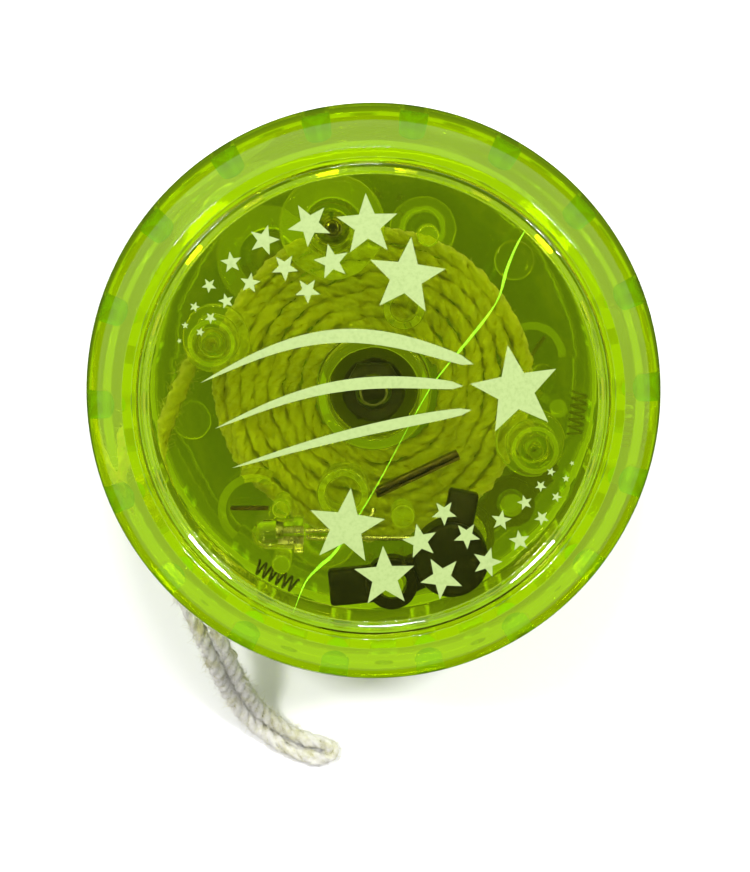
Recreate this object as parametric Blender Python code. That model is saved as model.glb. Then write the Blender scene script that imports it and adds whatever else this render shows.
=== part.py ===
"""A light-up yo-yo of clear lime plastic: two equal halves on a steel axle, with a cotton string.

The yo-yo lies on its lower face. Z is the axle, the origin is the middle of the face it lies on.
Each half is described in its own frame, with z counted outwards from the middle of the string
gap. The upper half keeps that frame, the lower one is the same half turned over.
"""
import math

import bmesh
import bpy
from mathutils import Matrix, Vector

MM = 0.001

# Driving dimensions, in millimetres until a mesh is made.
DIAMETER = 57.0
WIDTH = 34.0
STRING_GAP = 4.2
WALL = 1.5
FIT_GAP = 0.3
LOWER_HALF_TURN = -126.0

RIM_RADIUS = DIAMETER / 2
HALF_WIDTH = WIDTH / 2
GAP_FACE = STRING_GAP / 2
FLOOR = GAP_FACE + WALL
FEATURE_ROOT = FLOOR - 0.5
CAVITY_RADIUS = 22.4
LEDGE_Z = 15.1
CAP_SEAT_RADIUS = 23.1
LIP_RADIUS = 24.1
CAP_RADIUS = CAP_SEAT_RADIUS - FIT_GAP
PANEL_RADIUS = 21.6
PANEL_Z = 16.3
PANEL_BOTTOM = LEDGE_Z + FIT_GAP

RIM_POCKETS = 18
RIM_POCKET_PHASE = 1.8
RIM_POCKET_WIDTH = 2.6
RIM_POCKET_INNER = 24.1
RIM_POCKET_OUTER = 26.6
RIM_POCKET_DEPTH = 11.0

AXLE_RADIUS = 1.5
AXLE_HALF_LENGTH = 7.7
BORE_RADIUS = AXLE_RADIUS + FIT_GAP
HUB_INNER = 4.5
HUB_OUTER = 5.6
HUB_TOP = 9.0
WASHER_RADIUS = 3.2
WASHER_THICKNESS = 0.5
NUT_ACROSS_FLATS = 5.5
NUT_THICKNESS = 2.4
SPOOL_RADIUS = 5.0

PEG_CIRCLE = 16.6
PEG_ANGLES = (161.7, -18.3)
PEG_RADIUS = 1.55
PEG_HOLE_RADIUS = 0.8
PEG_END = 7.0
SOCKET_INNER = PEG_RADIUS + FIT_GAP
SOCKET_OUTER = 2.35
SOCKET_COLLAR = 3.4
SOCKET_TOP = 13.0

BALL_RADIUS = 1.75
BALL_CIRCLE = 16.9
BALL_ANGLE = 104.0
BALL_Z = FLOOR + FIT_GAP + BALL_RADIUS
BALL_POCKET_INNER = 2.9
BALL_POCKET_OUTER = 5.2
BALL_POCKET_TOP = 8.0
BALL_TUBE_OUTER = 2.5
BALL_TUBE_INNER = 1.8

LED_RADIUS = 1.5
LED_FLANGE_RADIUS = 1.9
LED_BASE = (-6.9, -14.1, 8.0)
LED_FLANGE_LENGTH = 1.0
LED_BARREL_END = 3.7
LED_POST_X = -9.1
LED_POST_OFFSET = 2.75
LED_POST_RADIUS = 0.95
LEAD_RADIUS = 0.3

CELL_CENTRE = (7.7, -16.5)
CELL_RADIUS = 2.9
CELL_THICKNESS = 2.1
HOLDER_INNER = CELL_RADIUS + FIT_GAP
HOLDER_OUTER = 3.7
HOLDER_BOTTOM = 4.0
HOLDER_TOP = 9.8
HOLDER_ROOF = 9.1
ARM_BOTTOM = 6.0
ARM_TOP = 9.0
EYE_CENTRE = (1.8, -18.9)
EYE_OUTER = 2.6
EYE_INNER = 1.5

SHELTER_CENTRE = (-11.8, -11.45)
SHELTER_INNER = 2.75
SHELTER_OUTER = 3.55
CONTACT_STRIP_WIDTH = 0.9
BLADE_THICKNESS = 0.35

SPRING_CENTRE = (-9.79, -18.8)
SPRING_RADIUS = 0.7
SPRING_WIRE = 0.13
SPRING_HALF_LENGTH = 2.2
SPRING_TURNS = 6

STRING_DIAMETER = 1.7
STRING_REST_Z = 0.9
WINDING_INNER = SPOOL_RADIUS + FIT_GAP
WINDING_OUTER = 16.8
WINDING_HALF_HEIGHT = 1.6
KNOT_CENTRE = (-17.4, -20.0, HALF_WIDTH)
KNOT_RADIUS = 1.3

# The string's way from the winding, out of the gap, round the finger loop and back to the knot.
TAIL_ROUTE = (
    (-17.35, 4.8, 17.0), (-19.2, 0.8, 17.0), (-21.2, -4.0, 17.0), (-22.3, -9.0, 17.0),
    (-22.2, -14.0, 17.0), (-20.9, -18.6, 17.0), (-19.1, -22.6, 17.0), (-17.6, -26.4, 15.7),
    (-16.5, -29.9, 12.2), (-15.5, -33.4, 7.2), (-13.7, -37.3, 2.7), (-10.8, -40.1, 0.9),
    (-7.6, -41.8, 0.9), (-5.0, -42.5, 0.9), (-3.5, -41.9, 0.9), (-4.2, -40.7, 0.9),
    (-6.9, -39.9, 0.9), (-9.6, -38.4, 1.1), (-12.0, -35.9, 3.4), (-13.6, -32.5, 8.0),
    (-14.6, -29.2, 12.6), (-15.7, -25.8, 16.0), (-16.9, -21.7, 17.0),
)

ROUND_STEPS = 48
SMALL_STEPS = 16


# ---------------------------------------------------------------- mesh helpers

def spun(profile, steps, closed):
    """A profile of (radius, z) points turned a full circle about the Z axis."""
    bm = bmesh.new()
    verts = [bm.verts.new((radius * MM, 0, z * MM)) for radius, z in profile]
    pairs = list(zip(verts, verts[1:]))
    if closed:
        pairs.append((verts[-1], verts[0]))
    edges = [bm.edges.new(pair) for pair in pairs]
    bmesh.ops.spin(bm, geom=verts + edges, cent=(0, 0, 0), axis=(0, 0, 1), dvec=(0, 0, 0),
                   angle=math.tau, steps=steps, use_merge=False, use_duplicate=False)
    bmesh.ops.remove_doubles(bm, verts=bm.verts, dist=0.002 * MM)
    bmesh.ops.recalc_face_normals(bm, faces=bm.faces)
    return bm


def ring(inner, outer, bottom, top, steps=SMALL_STEPS):
    return spun([(inner, bottom), (outer, bottom), (outer, top), (inner, top)], steps, True)


def disc(radius, bottom, top, steps=SMALL_STEPS):
    return spun([(0, bottom), (radius, bottom), (radius, top), (0, top)], steps, False)


def ball(radius, steps=SMALL_STEPS):
    bm = bmesh.new()
    bmesh.ops.create_uvsphere(bm, u_segments=steps, v_segments=steps // 2, radius=radius * MM)
    return bm


def prism(outline, bottom, top):
    """A closed outline of (x, y) points, raised from bottom to top."""
    bm = bmesh.new()
    face = bm.faces.new([bm.verts.new((x * MM, y * MM, bottom * MM)) for x, y in outline])
    raised = bmesh.ops.extrude_face_region(bm, geom=[face])["geom"]
    lifted = [item for item in raised if isinstance(item, bmesh.types.BMVert)]
    bmesh.ops.translate(bm, verts=lifted, vec=(0, 0, (top - bottom) * MM))
    bmesh.ops.recalc_face_normals(bm, faces=bm.faces)
    return bm


def bar(start, end, width, bottom, top):
    """An upright-sided bar between two (x, y) points."""
    start, end = Vector(start), Vector(end)
    side = (end - start).normalized().orthogonal() * width / 2
    outline = [start - side, end - side, end + side, start + side]
    return prism([tuple(point) for point in outline], bottom, top)


def arc_wall(centre, inner, outer, first, last, bottom, top, steps=14):
    """An upright wall that follows part of a circle."""
    angles = [math.radians(first + (last - first) * i / steps) for i in range(steps + 1)]
    outside = [(centre[0] + outer * math.cos(a), centre[1] + outer * math.sin(a)) for a in angles]
    inside = [(centre[0] + inner * math.cos(a), centre[1] + inner * math.sin(a)) for a in angles]
    return prism(outside + inside[::-1], bottom, top)


def moved(bm, matrix):
    bmesh.ops.transform(bm, matrix=matrix, verts=bm.verts)
    return bm


def at(bm, x, y, z=0.0):
    return moved(bm, Matrix.Translation((x * MM, y * MM, z * MM)))


def polar(radius, degrees):
    return radius * math.cos(math.radians(degrees)), radius * math.sin(math.radians(degrees))


def finished(bm, name):
    """The bmesh as a mesh with smooth round faces and sharp corners."""
    mesh = bpy.data.meshes.new(name)
    bm.to_mesh(mesh)
    bm.free()
    mesh.shade_smooth()
    mesh.set_sharp_from_angle(angle=math.radians(35))
    return mesh


def gathered(pieces, name):
    """Several closed bodies that don't touch, as one mesh."""
    whole = bmesh.new()
    for piece in pieces:
        part = bpy.data.meshes.new(name)
        piece.to_mesh(part)
        piece.free()
        whole.from_mesh(part)
        bpy.data.meshes.remove(part)
    return finished(whole, name)


def evaluated(obj, name):
    """The object's shape with its modifiers, as a mesh; the object is removed."""
    bpy.context.view_layer.update()
    graph = bpy.context.evaluated_depsgraph_get()
    mesh = bpy.data.meshes.new_from_object(obj.evaluated_get(graph))
    mesh.name = name
    bpy.data.objects.remove(obj)
    return mesh


def linked(name, data):
    obj = bpy.data.objects.new(name, data)
    bpy.context.collection.objects.link(obj)
    return obj


def combined(base, steps, name):
    """The base mesh after a list of (operation, mesh) Boolean steps."""
    body = linked(name, base)
    tools = []
    for operation, mesh in steps:
        tool = linked(name + "_tool", mesh)
        tools.append(tool)
        modifier = body.modifiers.new(operation, "BOOLEAN")
        modifier.operation = operation
        modifier.object = tool
    mesh = evaluated(body, name)
    for tool in tools:
        bpy.data.objects.remove(tool)
    mesh.shade_smooth()
    mesh.set_sharp_from_angle(angle=math.radians(35))
    return mesh


def swept(points, radius, name, resolution=2):
    """A round rod of one radius along a list of points."""
    curve = bpy.data.curves.new(name, "CURVE")
    curve.dimensions = "3D"
    curve.bevel_depth = radius * MM
    curve.bevel_resolution = resolution
    curve.use_fill_caps = True
    spline = curve.splines.new("POLY")
    spline.points.add(len(points) - 1)
    for target, point in zip(spline.points, points):
        target.co = (*(value * MM for value in point), 1)
    return evaluated(linked(name, curve), name)


def smooth_route(points, pieces):
    """Points on a smooth curve that passes through every given point."""
    knots = [Vector(point) for point in points]
    knots = [knots[0] * 2 - knots[1]] + knots + [knots[-1] * 2 - knots[-2]]
    route = []
    for before, start, end, after in zip(knots, knots[1:], knots[2:], knots[3:]):
        for i in range(pieces):
            t = i / pieces
            route.append(0.5 * (2 * start + (end - before) * t
                                + (2 * before - 5 * start + 4 * end - after) * t * t
                                + (3 * start - before - 3 * end + after) * t * t * t))
    route.append(knots[-2])
    return route


# ---------------------------------------------------------------- materials

def material(name, color, roughness, metallic=0.0, alpha=1.0):
    made = bpy.data.materials.new(name)
    made.use_nodes = True
    made.diffuse_color = (*color, alpha)
    shader = made.node_tree.nodes["Principled BSDF"]
    shader.inputs["Base Color"].default_value = (*color, 1)
    shader.inputs["Roughness"].default_value = roughness
    shader.inputs["Metallic"].default_value = metallic
    shader.inputs["Alpha"].default_value = alpha
    return made


# ---------------------------------------------------------------- pieces of one half

def rim_pocket(angle):
    """A blind pocket in the rim, with its round end towards the axle."""
    half = RIM_POCKET_WIDTH / 2
    bend = RIM_POCKET_INNER + half
    arc = [math.radians(90 + 180 * i / 4) for i in range(5)]
    outline = [(RIM_POCKET_OUTER, -half), (RIM_POCKET_OUTER, half)]
    outline += [(bend + half * math.cos(a), half * math.sin(a)) for a in arc]
    return moved(prism(outline, 0, RIM_POCKET_DEPTH), Matrix.Rotation(math.radians(angle), 4, "Z"))


def shell_mesh():
    """The half's bowl: string-side wall, hub, thick rim and lip, with everything moulded inside."""
    bowl = finished(spun([
        (BORE_RADIUS, GAP_FACE), (20.0, GAP_FACE), (25.5, 2.7), (27.6, 3.4), (RIM_RADIUS, 5.0),
        (RIM_RADIUS, 6.6), (28.3, 9.0), (27.9, 12.0), (27.5, 13.9), (26.9, 15.1), (26.1, 15.9),
        (25.2, 16.35), (24.6, 16.7),
        (LIP_RADIUS, HALF_WIDTH), (CAP_SEAT_RADIUS, HALF_WIDTH), (CAP_SEAT_RADIUS, LEDGE_Z),
        (CAVITY_RADIUS, LEDGE_Z), (CAVITY_RADIUS, FLOOR), (HUB_OUTER, FLOOR), (HUB_OUTER, HUB_TOP),
        (HUB_INNER, HUB_TOP), (HUB_INNER, FLOOR), (BORE_RADIUS, FLOOR)],
        ROUND_STEPS, True), "bowl")

    socket = [(0, FEATURE_ROOT), (SOCKET_COLLAR, FEATURE_ROOT), (SOCKET_COLLAR, 6.0),
              (SOCKET_OUTER, 6.0), (SOCKET_OUTER, SOCKET_TOP), (SOCKET_INNER, SOCKET_TOP),
              (SOCKET_INNER, FLOOR), (0, FLOOR)]
    features = [at(spun(socket, SMALL_STEPS, False), *polar(PEG_CIRCLE, angle))
                for angle in PEG_ANGLES]
    features.append(at(ring(BALL_POCKET_INNER, BALL_POCKET_OUTER, FEATURE_ROOT, BALL_POCKET_TOP, 24),
                       *polar(BALL_CIRCLE, BALL_ANGLE)))
    led_y = LED_BASE[1]
    for side in (-1, 1):
        features.append(at(disc(LED_POST_RADIUS, FEATURE_ROOT, 10.0, 12),
                           LED_POST_X, led_y + side * LED_POST_OFFSET))
    features.append(bar((LED_POST_X, led_y - 1.5), (LED_POST_X, led_y + 1.5), 0.8,
                        FEATURE_ROOT, 6.2))
    features.append(arc_wall(SHELTER_CENTRE, SHELTER_INNER, SHELTER_OUTER, 60, 235,
                             FEATURE_ROOT, 9.6))
    features.append(at(ring(1.75, 2.55, FEATURE_ROOT, 10.0), -3.0, -9.9))
    features.append(at(ring(1.3, 2.1, FEATURE_ROOT, 8.0), 3.0, 8.3))
    features.append(at(disc(1.2, FEATURE_ROOT, 9.0, 12), 2.9, -12.2))
    features.append(at(disc(1.1, FEATURE_ROOT, 10.0, 12), 5.35, 15.5))
    features.append(at(disc(1.2, FEATURE_ROOT, 10.2, 12), *EYE_CENTRE))
    features.append(at(disc(2.0, FEATURE_ROOT, 4.6, 12), 14.0, 12.9))

    pockets = [rim_pocket(RIM_POCKET_PHASE + 360 * i / RIM_POCKETS) for i in range(RIM_POCKETS)]
    return combined(bowl, [("UNION", gathered(features, "features")),
                           ("DIFFERENCE", gathered(pockets, "pockets"))], "shell")


def cap_mesh():
    """The face cap: a thin disc with a raised border, two pegs and the tube that keeps the ball."""
    plate = finished(spun([
        (0, PANEL_BOTTOM), (CAP_RADIUS, PANEL_BOTTOM), (CAP_RADIUS, 16.6), (CAP_RADIUS - 0.2, 16.8),
        (PANEL_RADIUS + 0.3, 16.8), (PANEL_RADIUS, PANEL_Z), (0, PANEL_Z)],
        ROUND_STEPS, False), "plate")
    root = PANEL_BOTTOM + 0.4
    peg = [(0, PEG_END + 7.2), (PEG_HOLE_RADIUS, PEG_END + 7.2), (PEG_HOLE_RADIUS, PEG_END),
           (PEG_RADIUS, PEG_END), (PEG_RADIUS, root), (0, root)]
    features = [at(spun(peg, SMALL_STEPS, False), *polar(PEG_CIRCLE, angle))
                for angle in PEG_ANGLES]
    features.append(at(ring(BALL_TUBE_INNER, BALL_TUBE_OUTER, BALL_POCKET_TOP + FIT_GAP, root),
                       *polar(BALL_CIRCLE, BALL_ANGLE)))
    return combined(plate, [("UNION", gathered(features, "features"))], "cap")


def led_mesh():
    """The lamp lies on its side, dome towards -X."""
    dome = [(LED_RADIUS * math.cos(a), LED_BARREL_END + LED_RADIUS * math.sin(a))
            for a in (math.radians(90 * i / 4) for i in range(5))]
    profile = [(0, 0), (LED_FLANGE_RADIUS, 0), (LED_FLANGE_RADIUS, LED_FLANGE_LENGTH),
               (LED_RADIUS, LED_FLANGE_LENGTH)] + dome
    lamp = moved(spun(profile, SMALL_STEPS, False), Matrix.Rotation(math.radians(-90), 4, "Y"))
    return finished(at(lamp, *LED_BASE), "led")


def lead_meshes():
    x, y, z = LED_BASE
    start = x + FIT_GAP
    short = [(start, y - 0.4, z - 0.4), (4.0, y - 0.4, z - 0.4)]
    bent = [(start, y + 0.4, z + 0.4), (-1.8, y + 0.4, z + 0.4), (-0.7, y + 1.1, z + 0.4),
            (-0.2, y + 1.9, z + 0.3), (-0.05, y + 2.6, z + 0.1)]
    return swept(short, LEAD_RADIUS, "lead_to_cells", 0), swept(bent, LEAD_RADIUS, "lead_to_strip", 0)


def holder_mesh():
    """The black cell holder: a cup over the cells, an eye on its post, a tongue and an arm."""
    cup = finished(at(disc(HOLDER_OUTER, HOLDER_BOTTOM, HOLDER_TOP, 28), *CELL_CENTRE), "cup")
    tongue_end = (-4.4, -19.5)
    steps = [
        ("UNION", finished(bar(CELL_CENTRE, EYE_CENTRE, 3.4, ARM_BOTTOM, ARM_TOP), "arm")),
        ("UNION", finished(bar(CELL_CENTRE, (9.0, -9.8), 3.0, ARM_BOTTOM + 0.2, ARM_TOP - 0.2),
                           "upper_arm")),
        ("UNION", finished(bar(EYE_CENTRE, tongue_end, 3.6, ARM_BOTTOM + 0.4, ARM_TOP - 0.4),
                           "tongue")),
        ("UNION", finished(at(disc(EYE_OUTER, ARM_BOTTOM - 0.2, ARM_TOP + 0.2, 20), *EYE_CENTRE),
                           "eye")),
        ("DIFFERENCE", finished(at(disc(HOLDER_INNER, 0, HOLDER_ROOF, 28), *CELL_CENTRE), "cells")),
        ("DIFFERENCE", finished(at(disc(EYE_INNER, 0, 20, 16), *EYE_CENTRE), "eye_hole")),
    ]
    return combined(cup, steps, "holder")


def cell_mesh(bottom):
    """A button cell: a wide can with a slightly smaller lid."""
    can = CELL_THICKNESS * 0.72
    profile = [(0, bottom), (CELL_RADIUS, bottom), (CELL_RADIUS, bottom + can),
               (CELL_RADIUS - 0.35, bottom + CELL_THICKNESS), (0, bottom + CELL_THICKNESS)]
    return finished(at(spun(profile, 28, False), *CELL_CENTRE), "cell")


def strip_mesh(start, end, width, bottom, top):
    return finished(bar(start, end, width, bottom, top), "strip")


def spring_mesh():
    """The coil spring of the light's switch, lying along the cavity wall."""
    per_turn = 8
    count = SPRING_TURNS * per_turn
    coil = []
    for i in range(count + 1):
        angle = math.tau * i / per_turn
        along = SPRING_HALF_LENGTH * (2 * i / count - 1)
        coil.append((along, SPRING_RADIUS * math.cos(angle), SPRING_RADIUS * math.sin(angle)))
    mesh = swept(coil, SPRING_WIRE, "spring", 0)
    direction = math.atan2(SPRING_CENTRE[1], SPRING_CENTRE[0]) + math.pi / 2
    height = FLOOR + FIT_GAP + SPRING_RADIUS + SPRING_WIRE
    place = Vector((*SPRING_CENTRE, height)) * MM
    mesh.transform(Matrix.Translation(place) @ Matrix.Rotation(direction, 4, "Z"))
    return mesh


def washer_mesh():
    bottom = FLOOR + FIT_GAP
    return finished(ring(BORE_RADIUS, WASHER_RADIUS, bottom, bottom + WASHER_THICKNESS, 24), "washer")


def nut_mesh():
    bottom = FLOOR + 2 * FIT_GAP + WASHER_THICKNESS
    corner = NUT_ACROSS_FLATS / math.sqrt(3)
    outline = [polar(corner, 60 * i) for i in range(6)]
    block = finished(prism(outline, bottom, bottom + NUT_THICKNESS), "hexagon")
    bore = finished(disc(BORE_RADIUS, 0, 20, 20), "bore")
    return combined(block, [("DIFFERENCE", bore)], "nut")


# ---------------------------------------------------------------- assembly

def clear_scene():
    for obj in list(bpy.data.objects):
        bpy.data.objects.remove(obj)


def add(name, mesh, finish, parent=None, location=(0, 0, 0)):
    """One named piece; a shared mesh keeps its material on the object."""
    obj = linked(name, mesh)
    if not mesh.materials:
        mesh.materials.append(None)
    obj.material_slots[0].link = "OBJECT"
    obj.material_slots[0].material = finish
    obj.parent = parent
    obj.location = location
    return obj


def half_frame(name, matrix):
    frame = linked(name, None)
    frame.matrix_world = matrix
    return frame


def build_halves(finishes):
    middle = Matrix.Translation((0, 0, HALF_WIDTH * MM))
    turned_over = (Matrix.Rotation(math.radians(LOWER_HALF_TURN), 4, "Z")
                   @ Matrix.Rotation(math.pi, 4, "X"))
    frames = {"upper": half_frame("upper_half", middle),
              "lower": half_frame("lower_half", middle @ turned_over)}
    to_cells, to_strip = lead_meshes()
    inner_cell = FLOOR + 2 * FIT_GAP
    pieces = [
        ("shell", shell_mesh(), "lime"),
        ("face_cap", cap_mesh(), "lime_cap"),
        ("led", led_mesh(), "led"),
        ("led_lead_to_cells", to_cells, "steel"),
        ("led_lead_to_strip", to_strip, "steel"),
        ("cell_holder", holder_mesh(), "black"),
        ("inner_button_cell", cell_mesh(inner_cell), "cell"),
        ("outer_button_cell", cell_mesh(inner_cell + CELL_THICKNESS + FIT_GAP), "cell"),
        ("contact_strip", strip_mesh((0.2, -10.1), (8.4, -6.2), CONTACT_STRIP_WIDTH, 6.0, 8.0),
         "brass"),
        ("switch_blade", strip_mesh((-14.2, -11.6), (-10.45, -11.6), BLADE_THICKNESS, 6.2, 7.6),
         "brass"),
        ("switch_spring", spring_mesh(), "steel"),
        ("washer", washer_mesh(), "steel"),
        ("axle_nut", nut_mesh(), "steel"),
    ]
    ball_mesh = finished(ball(BALL_RADIUS), "ball")
    ball_place = [value * MM for value in (*polar(BALL_CIRCLE, BALL_ANGLE), BALL_Z)]
    for side, frame in frames.items():
        for piece, mesh, finish in pieces:
            add(f"{side}_{piece}", mesh, finishes[finish], frame)
        add(f"{side}_steel_ball", ball_mesh, finishes["chrome"], frame, ball_place)


def build_axle(finishes):
    end = AXLE_HALF_LENGTH
    chamfer = 0.3
    profile = [(0, -end), (AXLE_RADIUS - chamfer, -end), (AXLE_RADIUS, -end + chamfer),
               (AXLE_RADIUS, end - chamfer), (AXLE_RADIUS - chamfer, end), (0, end)]
    pin = finished(spun(profile, 20, False), "axle")
    place = (0, 0, HALF_WIDTH * MM)
    add("axle", pin, finishes["chrome"], None, place)
    half = GAP_FACE - FIT_GAP
    spool = finished(ring(BORE_RADIUS, SPOOL_RADIUS, -half, half, 36), "spool")
    add("axle_spool", spool, finishes["black"], None, place)


def build_string(finishes):
    height, inner, outer = WINDING_HALF_HEIGHT, WINDING_INNER, WINDING_OUTER
    edge = 0.6
    profile = [(inner, -height), (outer - edge, -height), (outer, -height + edge),
               (outer, height - edge), (outer - edge, height), (inner, height)]
    winding = finished(spun(profile, 48, True), "winding")
    add("string_winding", winding, finishes["cotton"], None, (0, 0, HALF_WIDTH * MM))
    route = smooth_route(TAIL_ROUTE, 2)
    for point in route:
        point.z = max(point.z, STRING_REST_Z)
    tail = swept(route, STRING_DIAMETER / 2, "tail")
    add("string_tail", tail, finishes["cotton"])
    knot = finished(ball(KNOT_RADIUS, 12), "knot")
    add("string_knot", knot, finishes["cotton"], None, [value * MM for value in KNOT_CENTRE])


def main():
    clear_scene()
    finishes = {
        "lime": material("lime_plastic", (0.42, 0.72, 0.03), 0.06, alpha=0.45),
        "lime_cap": material("lime_cap_plastic", (0.45, 0.72, 0.03), 0.05, alpha=0.35),
        "led": material("clear_epoxy", (0.9, 0.93, 0.85), 0.04, alpha=0.4),
        "steel": material("tinned_steel", (0.62, 0.62, 0.58), 0.3, 1.0),
        "chrome": material("polished_steel", (0.72, 0.72, 0.7), 0.12, 1.0),
        "brass": material("phosphor_bronze", (0.6, 0.45, 0.2), 0.35, 1.0),
        "cell": material("nickel_can", (0.65, 0.65, 0.62), 0.25, 1.0),
        "black": material("black_plastic", (0.015, 0.015, 0.015), 0.45),
        "cotton": material("twisted_cotton", (0.74, 0.7, 0.52), 0.9),
    }
    build_halves(finishes)
    build_axle(finishes)
    build_string(finishes)


main()
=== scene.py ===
"""The looks of the light-up yo-yo: clear lime plastic, print, lamp, steel and cotton string."""
import math
import random

import bmesh
import bpy
import numpy as np
from mathutils import Matrix, Vector, noise


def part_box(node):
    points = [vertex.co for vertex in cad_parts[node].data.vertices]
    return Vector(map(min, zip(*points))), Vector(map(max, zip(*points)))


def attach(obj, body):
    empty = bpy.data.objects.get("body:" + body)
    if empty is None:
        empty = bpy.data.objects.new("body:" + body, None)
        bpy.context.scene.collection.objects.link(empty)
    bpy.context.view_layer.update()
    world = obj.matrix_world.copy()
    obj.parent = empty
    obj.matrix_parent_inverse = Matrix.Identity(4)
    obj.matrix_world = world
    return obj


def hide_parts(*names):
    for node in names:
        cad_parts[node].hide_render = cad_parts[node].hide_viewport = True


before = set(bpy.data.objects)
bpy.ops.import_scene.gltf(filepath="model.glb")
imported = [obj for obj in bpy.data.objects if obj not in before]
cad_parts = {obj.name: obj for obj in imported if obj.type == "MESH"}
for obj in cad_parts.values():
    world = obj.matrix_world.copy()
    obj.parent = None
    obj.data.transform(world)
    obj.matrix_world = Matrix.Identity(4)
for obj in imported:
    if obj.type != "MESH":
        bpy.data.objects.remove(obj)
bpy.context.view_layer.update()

MM = 0.001
scene = bpy.context.scene

# ---------------------------------------------------------------- sizes from the frame, in mm

shell_low, shell_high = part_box("upper_shell")
cap_low, cap_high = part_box("upper_face_cap")
ball_low, ball_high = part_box("upper_steel_ball")
spool_low, spool_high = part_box("axle_spool")

HALF_WIDTH = shell_high.z / MM / 2
RIM_RADIUS = (shell_high.x - shell_low.x) / MM / 2
GAP_FACE = shell_low.z / MM - HALF_WIDTH
WALL = 1.5
FLOOR = GAP_FACE + WALL
ROOT = FLOOR - 0.5
FIT_GAP = 0.3
LOWER_HALF_TURN = -126.0

CAVITY_RADIUS = 22.4
LEDGE_Z = 15.1
SEAT_RADIUS = 23.1
LIP_RADIUS = 24.1
HUB_INNER = 4.5
HUB_OUTER = 5.6
HUB_TOP = 9.0
CAP_RADIUS = (cap_high.x - cap_low.x) / MM / 2
CAP_TOP = cap_high.z / MM - HALF_WIDTH
PANEL_RADIUS = 21.6
PANEL_Z = CAP_TOP - 0.5
PANEL_BOTTOM = LEDGE_Z + FIT_GAP

AXLE_RADIUS = 1.5
BORE_RADIUS = AXLE_RADIUS + FIT_GAP
PEG_CIRCLE = 16.6
PEG_ANGLES = (161.7, -18.3)
PEG_RADIUS = 1.55
PEG_HOLE_RADIUS = 0.8
PEG_END = 7.0
SOCKET_TOP = 13.0
BALL_RADIUS = (ball_high.z - ball_low.z) / MM / 2
BALL_CIRCLE = 16.9
BALL_ANGLE = 104.0
BALL_TUBE_INNER = 1.8
BALL_TUBE_OUTER = 2.5
LED_BASE = (-6.9, -14.1, 8.0)
LED_RADIUS = 1.5
LED_FLANGE_RADIUS = 1.9
LED_BARREL_TOP = 3.7
LEAD_RADIUS = 0.27
CELL_CENTRE = (7.7, -16.5)
CELL_RADIUS = 2.9
CELL_THICKNESS = 2.1
HOLDER_OUTER = 3.7
HOLDER_INNER = 3.2
EYE_CENTRE = (1.8, -18.9)
SHELTER_CENTRE = (-11.8, -11.45)

STRING_DIAMETER = 1.7
STRING_REST_Z = 0.9
STRING_STEP = 0.30
SPOOL_RADIUS = (spool_high.x - spool_low.x) / MM / 2
WINDING_OUTER = 16.8

# The string's way out of the gap, round the finger loop and back to the knot, as in the CAD.
TAIL_ROUTE = (
    (-17.35, 4.8, 17.0), (-19.2, 0.8, 17.0), (-21.2, -4.0, 17.0), (-22.3, -9.0, 17.0),
    (-22.2, -14.0, 17.0), (-20.9, -18.6, 17.0), (-19.1, -22.6, 17.0), (-17.6, -26.4, 15.7),
    (-16.5, -29.9, 12.2), (-15.5, -33.4, 7.2), (-13.7, -37.3, 2.7), (-10.8, -40.1, 0.9),
    (-7.9, -41.6, 0.9), (-5.9, -42.1, 0.9), (-4.6, -41.5, 0.9), (-5.2, -40.5, 0.9),
    (-7.3, -39.95, 0.9), (-9.8, -38.75, 1.1), (-12.3, -36.2, 3.2), (-13.95, -32.7, 7.8),
    (-14.95, -29.3, 12.4), (-16.0, -25.9, 15.9), (-17.0, -21.8, 17.0),
)
KNOT_CENTRE = (-17.4, -20.0, HALF_WIDTH)

MIDDLE = Matrix.Translation((0, 0, HALF_WIDTH * MM))
SIDES = {
    "upper": MIDDLE,
    "lower": (MIDDLE @ Matrix.Rotation(math.radians(LOWER_HALF_TURN), 4, "Z")
              @ Matrix.Rotation(math.pi, 4, "X")),
}


# ---------------------------------------------------------------- camera

def make_camera():
    """Almost straight down the axle, from a little behind it."""
    distance = 280.0
    tilt = math.radians(4.66)
    seen_height = 88.8
    aim = Vector((0.15, -5.14, HALF_WIDTH)) * MM
    eye = Vector((0, distance * math.sin(tilt), HALF_WIDTH + distance * math.cos(tilt))) * MM
    camera = bpy.data.cameras.new("camera")
    camera.sensor_width = 36.0
    camera.lens = camera.sensor_width * distance / seen_height
    camera.clip_start = 0.01
    camera.clip_end = 20
    obj = bpy.data.objects.new("camera", camera)
    scene.collection.objects.link(obj)
    back = (eye - aim).normalized()
    right = Vector((0, 1, 0)).cross(back).normalized()
    turn = Matrix((right, back.cross(right), back)).transposed()
    obj.matrix_world = Matrix.Translation(eye) @ turn.to_4x4()
    scene.camera = obj


make_camera()


# ---------------------------------------------------------------- mesh helpers

def filleted(points, closed=True):
    """(radius, z, fillet) corners as a (radius, z) outline with each fillet as a short arc."""
    outline = []
    count = len(points)
    for i, (x, y, fillet) in enumerate(points):
        here = Vector((x, y))
        if fillet == 0 or (not closed and i in (0, count - 1)):
            outline.append((x, y))
            continue
        before = Vector(points[i - 1][:2]) - here
        after = Vector(points[(i + 1) % count][:2]) - here
        turn = before.angle(after)
        reach = min(fillet / math.tan(turn / 2), before.length * 0.45, after.length * 0.45)
        start = here + before.normalized() * reach
        end = here + after.normalized() * reach
        for step in range(5):
            t = step / 4
            point = start * (1 - t) ** 2 + here * 2 * t * (1 - t) + end * t ** 2
            outline.append((point.x, point.y))
    return outline


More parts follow.
